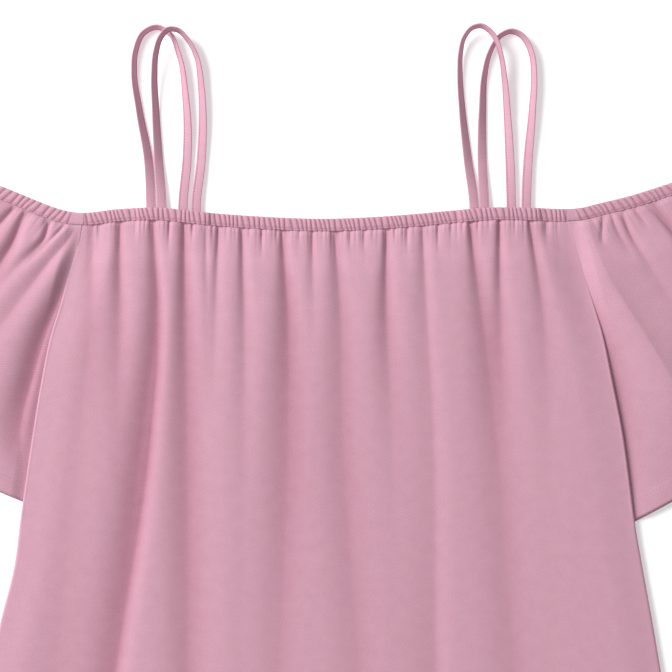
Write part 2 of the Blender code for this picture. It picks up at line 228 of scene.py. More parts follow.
def through(keys, values, at):
    """A smooth curve through rows: cubic pieces whose slope at a row comes from its neighbours."""
    keys = np.asarray(keys, float)
    values = np.asarray(values, float)
    at = np.clip(at, keys[0], keys[-1])
    slopes = np.gradient(values, keys)
    i = np.clip(np.searchsorted(keys, at) - 1, 0, len(keys) - 2)
    span = keys[i + 1] - keys[i]
    t = (at - keys[i]) / span
    start = (1 + 2 * t) * (1 - t) ** 2 * values[i] + t * (1 - t) ** 2 * span * slopes[i]
    return start + t * t * (3 - 2 * t) * values[i + 1] - t * t * (1 - t) * span * slopes[i + 1]


def ease(t):
    """0 at 0 and below, 1 at 1 and above, 3t^2 - 2t^3 between."""
    t = np.clip(t, 0, 1)
    return t * t * (3 - 2 * t)


def grid_faces(index):
    """Quads over a grid of vertex numbers, facing up where columns run right and rows down."""
    return np.stack([index[1:, :-1], index[1:, 1:], index[:-1, 1:], index[:-1, :-1]], axis=-1).reshape(-1, 4)


def cloth_piece(name, points, faces, uv, painted_shade, paint, nodes, wall=None):
    """A mesh in the frame from plan points, with its UV map in millimetres and its painted fold shade.

    An open sheet is given a `wall`, and a closed body, which has none, is made to face outward.
    """
    mesh = bpy.data.meshes.new(name)
    mesh.from_pydata(plan_to_world(*points.reshape(-1, 3).T).tolist(), [], faces)
    if wall is None:
        body = bmesh.new()
        body.from_mesh(mesh)
        bmesh.ops.recalc_face_normals(body, faces=body.faces)
        body.to_mesh(mesh)
        body.free()
    corners = np.empty(len(mesh.loops), np.int32)
    mesh.loops.foreach_get("vertex_index", corners)
    flat_uv = uv.reshape(-1, 2)[corners].astype(np.float32)
    mesh.uv_layers.new(name="cloth").data.foreach_set("uv", flat_uv.ravel())
    # Painted shade per point: the share of the darker pink that stands in for shade in folds.
    mesh.attributes.new("painted_shade", "FLOAT", "POINT").data.foreach_set("value", painted_shade.astype(np.float32).ravel())
    mesh.materials.append(paint)
    mesh.shade_smooth()
    piece = bpy.data.objects.new(name, mesh)
    scene.collection.objects.link(piece)
    if wall is not None:
        solid = piece.modifiers.new("Wall", "SOLIDIFY")
        solid.thickness = wall * MM
        solid.offset = 0
    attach(piece, "root")
    if nodes:
        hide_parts(*nodes)
    return piece


def tube_faces(count, sides):
    """Faces of a closed tube through rings of points, with a cap at each end."""
    index = np.arange(count * sides).reshape(count, sides)
    faces = grid_faces(np.concatenate([index, index[:, :1]], axis=1)).tolist()
    return faces + [index[0].tolist(), index[-1].tolist()[::-1]]


crepe_cloth = crepe("dusty_pink_crepe")

# The body's cut: a gathered front and back of one outline, sewn to the sleeves down the raglan
# seams and to each other down the side seams, with a turned hem 12 mm deep.
CLOTH = 1.2
SEAM_GAP = 0.3
CASING_WIDTH = 9.6
BACK_LEVEL = 0.6
FRONT_LEVEL = 2.1
LEFT_SEAM = -190.0
RIGHT_SEAM = 186.0
NECK_END = 304.0
BODY_LENGTH = 750.0
HEM_DEPTH = 12.5
HEM_RISE = 0.35

# Columns: across, up
NECKLINE = np.array([
    (-304, 41.5), (-280, 33.8), (-255, 25.4), (-240, 19.4), (-223, 12.4), (-207, 6.8),
    (-197, 5.0), (-190, 4.7), (-165, 7.4), (-130, 8.4), (-100, 5.3), (-60, 2.2), (0, 0),
    (60, 3.0), (100, 6.6), (130, 8.7), (165, 8.2), (186, 7.7), (197, 8.4), (213, 12.2),
    (236, 17.8), (260, 25.3), (280, 32.0), (304, 40.5),
])

# Columns: down, left, right
BODY_SIDES = np.array([
    (-2, -190.0, 186.0), (13, -192.7, 189.9), (28, -196.6, 194.6), (48, -202.8, 200.8),
    (72, -208.9, 207.7), (92, -215.4, 213.9), (130, -223.4, 222.2), (172, -230.4, 230.6),
    (204, -235.2, 235.2), (237, -239.9, 239.5), (270, -244.4, 245.3), (314, -255.5, 253.4),
    (360, -265.0, 261.4), (500, -291.0, 287.5), (620, -312.0, 310.0), (724, -330.0, 330.0),
])


def neck_up(across):
    return through(NECKLINE[:, 0], NECKLINE[:, 1], across)


def neck_slope(across):
    return neck_up(across + 0.5) - neck_up(across - 0.5)


def neck_offset(across, distance):
    """The neckline's point at `across`, moved `distance` square to the neckline, down the body."""
    slope = neck_slope(across)
    length = np.hypot(1, slope)
    return across + distance * slope / length, neck_up(across) - distance / length


def neck_down(across):
    return CASING_WIDTH + SEAM_GAP - neck_up(np.clip(across, LEFT_SEAM, RIGHT_SEAM))


def body_side(down, column):
    return through(BODY_SIDES[:, 0], BODY_SIDES[:, column], down)


def hem_down(across):
    rise = BODY_LENGTH - BODY_SIDES[-1, 0]
    return BODY_LENGTH - rise * (across / BODY_SIDES[-1, 2]) ** 2


def body_grid(inset, below, roll):
    """Plan points over a body panel: inset from 0 at the left edge to 1 at the right, drawn in by
    `roll` at both, and `below` in millimetres under the casing at the centre front."""
    v = below / (BODY_LENGTH - neck_down(0))
    depth = neck_down(0) + (BODY_SIDES[-1, 0] - neck_down(0)) * v
    left = body_side(depth, 1) + roll
    across = left + (body_side(depth, 2) - roll - left) * inset
    return across, neck_down(across) + (hem_down(across) - neck_down(across)) * v


def hem_band(to_hem):
    """The raised turning of a hem: a soft step HEM_DEPTH above the edge."""
    return HEM_RISE * ease((HEM_DEPTH + 1 - to_hem) / 1.6)


# Back panel: the same cut as the front, laid flat underneath, so only its underside and the
# strips along its edges ever show.
inset, below = np.meshgrid(np.linspace(0, 1, 121), np.linspace(0, BODY_LENGTH - neck_down(0), 61))
across, down = body_grid(inset, below, 0)
back = cloth_piece("back_cloth", np.stack([across, -down, BACK_LEVEL + 0 * across], axis=-1),
                   grid_faces(np.arange(across.size).reshape(across.shape)).tolist(),
                   np.stack([across, -down], axis=-1), 0 * across, crepe_cloth, ["back_panel"], CLOTH)

# Front panel: gathered into the casing, so that folds fan from the neckline and soften toward
# the hem, with a narrow ridge between two deep troughs at the left and long soft troughs beyond.
PUFF = 5.5
PUFF_REACH = 30.0
GATHERED = 0.38
GATHER_REACH = 34.0
NECK_LIFT = 1.4
NECK_LIFT_REACH = 25.0
ROLL = 1.8
RUCHE_PITCH = 3.92
RIBBON_WIDTH = 7.4
RIBBON_THICKNESS = 1.4
FEET = ((-138, -102.7), (114.4, 155.1))
FOLD_STATIONS = (5, 70, 165, 350, 735)
FOLD_SPREAD = 120.0
SOFT = (1.6, 1.6)

# Columns: across at the five stations, depth at the five stations, then half widths to the left
# and right of the middle, at the neck and lower down
FRONT_TROUGHS = np.array([
    (-185, -184, -193, -211, -258, 2.2, 2.4, 1.6, 2.0, 2.8, 2.6, 3.0, 26, 24),
    (-162, -162, -164, -165, -167, 3.6, 3.4, 0.8, 0.0, 0.0, 2.6, 3.0, 18, 14),
    (-136, -132, -139, -165, -223, 3.0, 5.2, 6.2, 4.6, 3.4, 3.4, 3.0, 20, 7),
    (-112, -111, -110, -109, -110, 3.8, 4.8, 4.4, 3.4, 3.4, 2.6, 3.6, 16, 17),
    (-95, -94, -93, -90, -90, 1.6, 0.6, 0.0, 0.0, 0.0, 1.6, 1.8, 8, 8),
    (-85, -87, -89, -90, -90, 2.8, 1.6, 0.0, 0.0, 0.0, 1.8, 2.6, 10, 10),
    (-67, -65, -65, -67, -72, 3.2, 2.6, 1.2, 0.5, 1.6, 1.8, 2.4, 12, 12),
    (-36, -31, -31, -37, -49, 3.0, 4.6, 4.0, 2.2, 2.8, 2.2, 3.0, 20, 20),
    (-12, -11, -10, -9, -6, 2.6, 0.8, 0.0, 0.3, 1.8, 1.6, 2.0, 14, 14),
    (5, 10, 12, 24, 48, 3.0, 3.0, 3.0, 2.2, 2.8, 2.0, 3.6, 20, 20),
    (46, 46, 50, 56, 68, 3.4, 3.6, 1.6, 0.3, 1.4, 1.6, 2.4, 16, 16),
    (74, 77, 82, 84, 98, 2.4, 2.0, 1.8, 2.2, 2.6, 1.8, 3.0, 22, 8),
    (111, 120, 131, 146, 183, 3.2, 3.4, 2.8, 2.2, 3.0, 2.0, 4.0, 20, 20),
    (134, 135, 138, 140, 144, 3.2, 2.8, 0.4, 0.0, 0.0, 1.8, 2.6, 14, 14),
    (158, 168, 173, 177, 229, 3.2, 2.2, 0.6, 0.3, 2.2, 2.0, 3.4, 16, 16),
])

# Gathers that die out soon under the casing. Columns: across, reach, depth, half width
SHORT_GATHERS = np.array([
    (-178, 14, 1.5, 1.8), (-150, 12, 1.0, 1.6), (-123.5, 14, 2.4, 1.3), (-105, 10, 2.0, 1.5),
    (-79, 8, 1.0, 1.4), (-61, 8, 1.0, 1.4), (-51, 14, 1.8, 1.8), (-40, 7, 1.4, 1.2),
    (-30, 7, 1.0, 1.3), (-22, 6, 0.9, 1.2), (9, 7, 1.4, 1.3), (17.6, 11, 1.8, 1.6),
    (28.5, 12, 1.7, 1.8), (35.5, 6, 1.0, 1.3), (53, 7, 1.2, 1.5), (62, 12, 1.8, 1.8),
    (86, 14, 2.0, 1.8), (97, 6, 1.0, 1.4), (105, 7, 1.1, 1.4), (117.5, 9, 1.3, 1.5),
    (126, 6, 0.9, 1.2), (146, 8, 1.0, 1.4), (170.5, 12, 1.4, 2.0), (179, 7, 0.9, 1.3),
])


def ruche(along):
    """0 at the creases that the elastic pulls into the cloth and 1 at the middle of each rib.

    |sin| of a phase that runs along the neckline at RUCHE_PITCH and sways, so ribs vary in width.
    """
    sway = 0.9 * np.sin(along / 13.0) + 0.7 * np.sin(along / 5.1 + 2.0) + 0.55 * np.sin(along / 2.9)
    return np.abs(np.sin(math.pi * (along + sway) / RUCHE_PITCH)) ** 0.55


def feet_lift(across):
    """How far the straps' feet raise the casing and the cloth beside it."""
    lift = 0 * across
    for left_foot, right_foot in FEET:
        start = left_foot - 2 * RIBBON_WIDTH
        end = right_foot + 2 * RIBBON_WIDTH
        lift = lift + ease((across - start) / RIBBON_WIDTH) * ease((end - across) / RIBBON_WIDTH)
    return lift * (RIBBON_THICKNESS + SEAM_GAP)


def trough(aside, left, right, sharpness=SOFT):
    """1 in the middle, falling off as exp(-|aside / half width| ** sharpness) on either side."""
    power = np.where(aside < 0, *sharpness)
    return np.exp(-np.abs(aside / np.where(aside < 0, left, right)) ** power)


def gathers(along, below):
    """The fine puckers under the casing: they carry on its ribs and fade within some millimetres."""
    strength = 0.55 + 0.45 * np.sin(along / 9.7 + 0.8) * np.sin(along / 4.3)
    reach = 4.5 + 3.0 * np.sin(along / 6.1 + 1.0) ** 2
    wide = 0.5 - 0.5 * np.cos(2 * math.pi * (along + 1.5 * np.sin(along / 15)) / 9.3 + 0.7)
    fine = 1.5 * strength * (1 - ruche(along)) * np.exp(-below / reach)
    return fine + 0.5 * wide * np.exp(-below / 13)


def front_height(across, down, to_side):
    """Millimetres that the front stands off the back, and the painted shade of its folds there, 0 to 1.

    A puff that grows away from the casing and from the sides, less troughs that follow smooth
    paths and widen as 1 - exp(-(down / FOLD_SPREAD) ** 1.5), less short gathers and puckers.
    """
    below = down - neck_down(across)
    edge = 0.5 + 3.0 * ease((down - 30) / 110)
    swell = ease((below + 1) / 4) * (GATHERED + (1 - GATHERED) * ease(below / GATHER_REACH))
    puff = (edge + (PUFF - edge) * ease(to_side / PUFF_REACH)) * swell
    spread = 1 - np.exp(-(np.maximum(down, 0) / FOLD_SPREAD) ** 1.5)
    dip = gathers(across, below)
    for row in FRONT_TROUGHS:
        centre = through(FOLD_STATIONS, row[0:5], down)
        depth = np.maximum(through(FOLD_STATIONS, row[5:10], down), 0)
        left, right = (row[k] + (row[k + 2] - row[k]) * spread for k in (10, 11))
        dip = dip + depth * trough(across - centre, left, right)
    for middle, reach, depth, half_width in SHORT_GATHERS:
        dip = dip + depth * np.exp(-(below / reach) ** 2) * trough(across - middle, half_width, half_width)
    dip = dip * ease((below + 1.2) / 2.5) * ease(to_side / 14)
    lift = (NECK_LIFT + feet_lift(across)) * (1 - ease(below / NECK_LIFT_REACH))
    height = puff + lift - dip
    # The second value is painted shade: it deepens the pink with the depth of the folds.
    return (height + np.sqrt(height ** 2 + 0.25)) / 2, 1 - np.exp(-(dip / 5.0) ** 1.5)


COARSE_COLUMNS = 396
ROLL_COLUMNS = 12
fine_below = np.array([-0.9, -0.2, 0.5, 1.3, 2.2, 3.2, 4.3, 5.6, 7.0, 8.8, 11, 13.6, 16.6, 20])
coarse_below = np.concatenate([np.linspace(20, 60, 13)[1:], np.linspace(60, 350, 44)[1:],
                               np.linspace(350, BODY_LENGTH - neck_down(0), 24)[1:]])
column = np.arange(2 * COARSE_COLUMNS - 1)
last = column[-1]
inset, below = np.meshgrid(np.clip((column - ROLL_COLUMNS) / (last - 2 * ROLL_COLUMNS), 0, 1),
                           np.concatenate([fine_below, coarse_below]))
roll_angle = math.pi / 2 * np.clip(np.minimum(column, last - column) / ROLL_COLUMNS, 0, 1)
across, down = body_grid(inset, below, ROLL)
to_side = np.minimum(across - body_side(down, 1), body_side(down, 2) - across)
height, painted_shade = front_height(across, down, to_side)
outward = np.where(inset < 0.5, -1, 1) * ROLL * np.cos(roll_angle)
under_sleeve = 0.9 * ease((down - 40) / 40) * ease((250 - down) / 20) * np.cos(roll_angle)
level = FRONT_LEVEL + under_sleeve + height * np.sin(roll_angle) + hem_band(hem_down(across) - down)
grid = np.stack([across + outward, -down, level], axis=-1)
fine_rows = len(fine_below)
points = np.concatenate([grid[:fine_rows].reshape(-1, 3), grid[fine_rows:, ::2].reshape(-1, 3)])
painted_shade = np.concatenate([painted_shade[:fine_rows].ravel(), painted_shade[fine_rows:, ::2].ravel()])
fine_index = np.arange(fine_rows * len(column)).reshape(fine_rows, -1)
coarse_index = fine_index.size + np.arange(len(coarse_below) * COARSE_COLUMNS).reshape(-1, COARSE_COLUMNS)
joint = np.stack([coarse_index[0, :-1], coarse_index[0, 1:], fine_index[-1, 2::2],
                  fine_index[-1, 1::2], fine_index[-1, :-2:2]], axis=-1)
faces = grid_faces(fine_index).tolist() + joint.tolist() + grid_faces(coarse_index).tolist()
front = cloth_piece("front_cloth", points, faces, points[:, :2], painted_shade, crepe_cloth, ["front_panel"],
                    WALL)

# Sleeves: each a wide raglan piece gathered into the casing and folded at its outer edge. Folds
# fall from the neckline to the hem, and the inner edge runs in behind the body below the seam.
# Columns: side, seam across, hem corner down at the body, foot of the outer fold across and up,
# bow of the fold, bow of the hem
SLEEVES = {
    "left_sleeve": (-1, LEFT_SEAM, 220.7, -392.0, -142.0, 5.0, 4.0),
    "right_sleeve": (1, RIGHT_SEAM, 236.7, 392.0, -142.0, 5.0, 4.0),
}
TUCK = 2.2
SLEEVE_LENGTH = 200.0
SLEEVE_PUFF = {"left_sleeve": 7.5, "right_sleeve": 4.5}
SLEEVE_RUCHE_STRETCH = 0.85
PUCKER_LEAN = 0.6
CRESTED = (2, 1)

# Each fold is a run of points. Columns: across, up, depth, half width on the left and the right
SLEEVE_TROUGHS = {
    "left_sleeve": [
        [(-199, -30, 0, 5, 3), (-204, -44, 3, 6, 3), (-210, -64, 6.0, 9, 3), (-221, -92, 7.6, 12, 3.5),
         (-231, -126, 7.4, 13, 5), (-240, -165, 5.4, 15, 9), (-238, -204, 2.6, 15, 12), (-240, -225, 1.8, 15, 12)],
        [(-196, -3, 0, 4, 3), (-199, -11, 1.4, 5, 3), (-217, -34, 2.6, 6, 4), (-240, -64, 2.4, 10, 7),
         (-275, -110, 1.2, 12, 10)],
        [(-199, 2, 0.8, 1.6, 1.3), (-203.5, -3.4, 1.8, 1.6, 1.3), (-215, -16, 1.6, 2, 1.3),
         (-227, -28, 1.0, 3, 1.6), (-240, -41, 0, 3, 2)],
        [(-213, 6, 3, 2, 2), (-217, -3, 3.4, 2.4, 2), (-222, -17, 3.4, 3, 3), (-229, -25, 3.0, 4, 4),
         (-238, -34, 2.2, 5, 5), (-255, -52, 1.4, 7, 7), (-300, -95, 0.6, 9, 9)],
        [(-230, 12, 3, 2, 2), (-236, 3, 3.6, 3, 3), (-248, -24, 5.0, 6, 5), (-258, -40, 4.6, 8, 7),
         (-280, -75, 2.6, 11, 10), (-310, -125, 1.0, 14, 12)],
        [(-238, 16, 2.4, 2, 2), (-244, 9, 3.2, 2.6, 2.6), (-256, -5, 3.4, 4, 4), (-292, -45, 2.6, 9, 8),
         (-325, -90, 1.0, 12, 11)],
        [(-262, 20, 2.6, 2, 2), (-274, 4, 3.2, 3, 3), (-310, -35, 2.6, 8, 7), (-345, -80, 1.2, 11, 10)],
        [(-286, 30, 2.6, 2, 2), (-298, 14, 3.2, 3, 3), (-328, -20, 2.0, 7, 6), (-350, -50, 1.0, 9, 9)],
    ],
    "right_sleeve": [
        [(201, -40, 0, 4, 8), (205, -63, 2.4, 4, 9), (219, -103, 4.2, 5, 12), (230, -165, 4.4, 6, 13),
         (237, -215, 2.6, 6, 12)],
        [(215, 4, 2.2, 1.8, 1.8), (214, -15, 1.2, 2.4, 2.4), (214, -22, 0, 3, 3)],
        [(221, 4, 1.6, 1.6, 1.6), (226, -9, 1.6, 2.4, 3), (235, -25, 0.8, 4, 5), (240, -34, 0, 5, 6)],
        [(229, 8, 2.4, 1.6, 1.8), (236, -11, 2.2, 2.6, 3), (250, -35, 1.2, 5, 6), (275, -75, 0.6, 8, 9)],
        [(238, 10, 1.8, 1.6, 1.6), (247, -2, 1.2, 2, 2), (252, -9, 0, 3, 3)],
        [(248, 13, 1.6, 1.6, 1.6), (255, 5, 1.0, 2, 2), (260, 0, 0, 2, 2)],
        [(252, 14, 3, 2, 3), (256, 7, 3.6, 2, 4), (269, -9, 3.8, 3, 7), (300, -50, 2.6, 8, 10),
         (330, -95, 1.0, 12, 12)],
        [(273, 22, 2.6, 2, 3), (300, -10, 2.8, 4, 7), (338, -50, 1.6, 8, 9)],
        [(288, 30, 2.4, 2, 3), (325, 2, 2.2, 4, 6), (345, -20, 1.0, 6, 7)],
    ],
}

# The right sleeve's pressed crest, in the same columns with height for depth
RIGHT_SLEEVE_CREST = [
    (202, 0, 2.0, 8, 14), (206, -14, 3.4, 10, 20), (212.6, -32, 4.6, 12, 24), (220, -48, 5.0, 14, 20),
    (228, -61, 5.0, 16, 16), (248, -92, 4.8, 20, 14), (269, -127, 4.0, 22, 14), (300, -185, 1.8, 22, 14),
    (312, -210, 1.2, 22, 14),
]


def fold_height(across, up, rows, sharpness=SOFT):
    """Height of one fold along its run of points: a trough() section square to the run."""
    rows = np.array(rows, float)
    middle, depth, left, right = (through(-rows[:, 1], rows[:, k], -up) for k in (0, 2, 3, 4))
    slope = through(-rows[:, 1], rows[:, 0], 0.5 - up) - through(-rows[:, 1], rows[:, 0], -0.5 - up)
    return np.maximum(depth, 0) * trough((across - middle) / np.hypot(1, slope), left, right, sharpness)


def sleeve_patch(name, u, v):
    """Plan points over one layer of a sleeve: u from the body to the outer fold, v neck to hem.

    The four edges are blended as a Coons patch: the sum of the two ruled surfaces between
    opposite edges, less the bilinear surface through the four corners.
    """
    side, seam, corner_down, foot_across, foot_up, fold_bow, hem_bow = SLEEVES[name]
    column = 1 if side < 0 else 2

    def neck(s):
        start = seam + side * SEAM_GAP
        return neck_offset(start + (side * NECK_END - start) * s, CASING_WIDTH - 2 * SEAM_GAP)

    def inner(s):
        down = neck_down(seam) + (corner_down - neck_down(seam)) * s
        return body_side(down, column) + side * (SEAM_GAP - TUCK * ease(s * 4)), -down

    def outer(s):
        bow = fold_bow * 4 * s * (1 - s)
        end_across, end_up = neck(np.ones(1))
        return (end_across + (foot_across - end_across) * s + side * bow,
                end_up + (foot_up - end_up) * s + bow * 0.4)

    def hem(s):
        start_across, start_up = inner(np.ones(1))
        bow = hem_bow * 4 * s * (1 - s)
        return (start_across + (foot_across - start_across) * s,
                start_up + (foot_up - start_up) * s - bow)

    points = []
    for k in range(2):
        corners = [edge(np.full(1, s))[k] for edge in (neck, hem) for s in (0.0, 1.0)]
        points.append((1 - v) * neck(u)[k] + v * hem(u)[k] + (1 - u) * inner(v)[k] + u * outer(v)[k]
                      - (1 - v) * ((1 - u) * corners[0] + u * corners[1])
                      - v * ((1 - u) * corners[2] + u * corners[3]))
    return points[0], points[1]


def sleeve_height(name, across, up, u, v):
    """Millimetres that a sleeve's front layer stands off its back layer, and its painted fold shade."""
    side = SLEEVES[name][0]
    to_body = np.abs(across - sleeve_patch(name, 0 * u, v)[0])
    to_fold = np.abs(across - sleeve_patch(name, 0 * u + 1, v)[0])
    below = v * SLEEVE_LENGTH
    swell = ease((below + 1) / 5) * (0.4 + 0.6 * ease(below / 40)) * (1 - 0.35 * ease((v - 0.6) / 0.4))
    puff = SLEEVE_PUFF[name] * swell
    along = across - side * PUCKER_LEAN * below - CASING_WIDTH * neck_slope(across)
    dip = gathers(along * SLEEVE_RUCHE_STRETCH, below)
    for rows in SLEEVE_TROUGHS[name]:
        dip = dip + fold_height(across, up, rows)
    if side > 0:
        puff = puff + fold_height(across, up, RIGHT_SLEEVE_CREST, CRESTED)
    dip = dip * ease((below + 1) / 2.5)
    height = (puff - dip) * ease(to_body / 12) * ease(to_fold / 16)
    lift = NECK_LIFT * (1 - ease(below / NECK_LIFT_REACH))
    # The second value is painted shade: it deepens the pink with the depth of the folds.
    return (height + np.sqrt(height ** 2 + 0.25)) / 2 + lift, 1 - np.exp(-(dip / 6.0) ** 1.5)


def sleeve(name, grain_turn):
    """Front layer, outer fold and back layer as one sheet: the fold is a half turn of the level."""
    side = SLEEVES[name][0]
    front_u = np.linspace(0, 1, 230)
    back_u = np.linspace(1, 0, 40)
    half_turn = np.linspace(0, math.pi, 8)[1:-1]
    u = np.concatenate([front_u, np.ones(len(half_turn)), back_u])
    turn = np.concatenate([0 * front_u, half_turn, 0 * back_u + math.pi])
    u, v = np.meshgrid(u, np.concatenate([np.linspace(0, 0.1, 16), np.linspace(0.1, 1, 90)[1:]]))
    turn = np.broadcast_to(turn, u.shape)
    across, up = sleeve_patch(name, u, v)
    height, painted_shade = sleeve_height(name, across, up, u, v)
    top = FRONT_LEVEL + height + hem_band((1 - v) * SLEEVE_LENGTH)
    level = BACK_LEVEL + (top - BACK_LEVEL) * (1 + np.cos(turn)) / 2
    front_layer = 0.5 + 0.5 * np.cos(turn)
    behind = 1.6 * (1 - front_layer) * ease((v - 0.9) / 0.1)
    points = np.stack([across + side * np.sin(turn), up - behind, level], axis=-1)
    grain_turn = math.radians(grain_turn)
    uv = np.stack([across * math.cos(grain_turn) + up * math.sin(grain_turn),
                   up * math.cos(grain_turn) - across * math.sin(grain_turn)], axis=-1)
    faces = grid_faces(np.arange(u.size).reshape(u.shape))[:, ::side].tolist()
    # Only the front layer carries the painted fold shade.
    piece = cloth_piece(name + "_cloth", points, faces, uv, painted_shade * front_layer, crepe_cloth, [name],
                        WALL)


sleeve("left_sleeve", -35)
sleeve("right_sleeve", 35)

# Casing: a folded strip stitched round a narrow elastic, which ruches it into fine ribs all
# round the neckline. The ribs lean and vary in width, and the lower stitching nips each one in.
CASING_THICKNESS = 2.4
FRONT_CASING_LEVEL = CASING_THICKNESS + SEAM_GAP + CASING_THICKNESS / 2
BACK_CASING_LEVEL = CASING_THICKNESS / 2
RUCHE_RISE = 1.1
FRONT_LEAN = -0.2
SLEEVE_LEAN = 0.4


def casing(name, across, turn, level, ruched, lean, stretch):
    """A casing length: a rounded flat section carried along the neckline, ruched outside.

    The section is a superellipse, 9.6 by 2.4 mm. `turn` carries its outside round the fold,
    `lean` slants the ribs and `stretch` narrows them.
    """
    half = CASING_WIDTH / 2
    centre_across, centre_up = neck_offset(across, half)
    edge_across, edge_up = neck_offset(across, CASING_WIDTH)
    square = np.stack([edge_across - centre_across, edge_up - centre_up, 0 * across], axis=-1) / half
    along = np.stack([-square[:, 1], square[:, 0], 0 * across], axis=-1)
    above = np.cos(turn)[:, None] * [[0, 0, 1]] + np.sin(turn)[:, None] * along
    centre = np.stack([centre_across, centre_up, level], axis=-1)
    round_angle = np.linspace(0, 2 * math.pi, 28, endpoint=False)
    flat = np.sign(np.cos(round_angle)) * np.abs(np.cos(round_angle)) ** 0.7
    thick = np.sign(np.sin(round_angle)) * np.abs(np.sin(round_angle)) ** 0.7
    s = across[:, None]
    rib = ruche((s - lean * half * (1 - flat) + 0.5 * np.sin(s / 3.1) * flat) * stretch)
    outside = np.clip(thick, 0, 1) ** 0.5
    nip = 1 - 0.5 * np.exp(-((flat - 0.72) / 0.12) ** 2)
    rise = ruched[:, None] * RUCHE_RISE * (rib * nip - 0.6) * outside
    scallop = ruched[:, None] * 0.4 * (rib - 0.5) * np.sign(flat) * np.abs(flat) ** 6
    aside = flat * half + scallop
    rings = (centre[:, None, :] + aside[..., None] * square[:, None, :]
             + (thick * CASING_THICKNESS / 2 + rise)[..., None] * above[:, None, :])
    # Painted shade: the pink darkens in the creases between the ribs, most where the stitching nips them.
    painted_shade = ruched[:, None] * (1 - rib * nip) * outside * 0.8
    uv = np.stack([s + 0 * aside, aside + 3 * thick], axis=-1)
    cloth_piece(name + "_cloth", rings, tube_faces(*aside.shape), uv, painted_shade, crepe_cloth, [name])


along = np.linspace(LEFT_SEAM + SEAM_GAP / 2, RIGHT_SEAM - SEAM_GAP / 2, 1150)
casing("front_casing", along, 0 * along, FRONT_CASING_LEVEL + feet_lift(along), 0 * along + 1, FRONT_LEAN, 1.0)
along = np.linspace(LEFT_SEAM + SEAM_GAP / 2, RIGHT_SEAM - SEAM_GAP / 2, 200)
casing("back_casing", along, 0 * along + math.pi, 0 * along + BACK_CASING_LEVEL, 0 * along, 0, 1.0)
for name, side, seam, plain in (("left_sleeve_casing", -1, LEFT_SEAM, 8.0),
                                ("right_sleeve_casing", 1, RIGHT_SEAM, 6.0)):
    start = seam + side * SEAM_GAP / 2
    front_run = np.linspace(start, side * NECK_END, 420)
    half_turn = np.linspace(0, math.pi, 12)[1:-1]
    back_run = np.linspace(side * NECK_END, start, 60)
    radius = (FRONT_CASING_LEVEL - BACK_CASING_LEVEL) / 2
    along = np.concatenate([front_run, side * (NECK_END + radius * np.sin(half_turn)), back_run])
    turn = np.concatenate([0 * front_run, half_turn, 0 * back_run + math.pi])
    ruched = np.concatenate([ease((np.abs(front_run - seam) - plain) / 4), 0 * half_turn, 0 * back_run])
    casing(name, along, side * turn, BACK_CASING_LEVEL + radius * (1 + np.cos(turn)), ruched,
           -side * SLEEVE_LEAN, SLEEVE_RUCHE_STRETCH)

# Straps: four flat ribbons of the same crepe, folded, pressed and edge-stitched. Each starts and
# ends behind the front casing, lies flat near it and stands on edge over the top of its loop.
# Columns: across, up, tilt in degrees, clear height
STRAP_FOOT = CASING_THICKNESS + SEAM_GAP
STRAPS = {
    "strap_left_outer": np.array([
        (-138, 0.8, 0, STRAP_FOOT), (-138, 9, 0, STRAP_FOOT), (-140, 46, 28, 0),
        (-147, 85, 50, 0), (-151, 114, 60, 0), (-150, 130, 64, 0), (-143, 145.5, 68, 0),
        (-133, 149.6, 69, 0), (-123, 144, 68, 0), (-116, 128, 64, 0), (-111, 96, 46, 0),
        (-109.4, 69, 28, 0), (-110, 46, 14, 0), (-113, 9, 0, STRAP_FOOT), (-113, 0.8, 0, STRAP_FOOT),
    ]),
    "strap_left_inner": np.array([
        (-129.5, 0.8, 0, STRAP_FOOT), (-129.5, 9, 0, STRAP_FOOT), (-132, 46, 26, 0),
        (-134.2, 85, 46, 0), (-135, 112, 56, 2.4), (-133.4, 129, 62, 5.8), (-129.5, 140.5, 68, 7.6),
        (-123.5, 146.6, 70, 7.8), (-116.5, 146.4, 70, 6.0), (-109, 139.4, 68, 3), (-102.8, 128, 64, 1),
        (-98.7, 104, 48, 0), (-97.5, 78, 34, 0), (-98.8, 46, 16, 0), (-102.7, 9, 0, STRAP_FOOT),
        (-102.7, 0.8, 0, STRAP_FOOT),
    ]),
    "strap_right_inner": np.array([
        (114.4, 0.8, 0, STRAP_FOOT), (114.4, 9, 0, STRAP_FOOT), (109.7, 46, 24, 0),
        (105.2, 85, 44, 0), (103.4, 112, 54, 0), (103.8, 129, 60, 1), (106.6, 141, 67, 3),
        (112.4, 148, 71, 5.4), (119, 149.5, 71, 7.2), (125.5, 146, 72, 7.8), (131, 138.6, 72, 7.8),
        (134.8, 127.4, 72, 6.0), (138, 108, 62, 2.4), (140.4, 80, 48, 0), (142.4, 46, 26, 0),
        (143.4, 9, 0, STRAP_FOOT), (143.4, 0.8, 0, STRAP_FOOT),
    ]),
    "strap_right_outer": np.array([
        (122.5, 0.8, 0, STRAP_FOOT), (122.5, 9, 0, STRAP_FOOT), (120.9, 46, 10, 0),
        (121.1, 85, 36, 0), (122.6, 112, 50, 0), (126, 127.6, 60, 0), (130.4, 137, 66, 0),
        (136.4, 143.8, 67, 0), (143.9, 146.4, 67, 0), (150.6, 143.8, 66, 0), (156, 137.2, 65, 0),
        (159.6, 128, 64, 0), (161.2, 112, 61, 0), (159.9, 85, 50, 0), (156.7, 46, 22, 0),
        (155.1, 9, 0, STRAP_FOOT), (155.1, 0.8, 0, STRAP_FOOT),
    ]),
}
EDGE_STITCH = 1.3


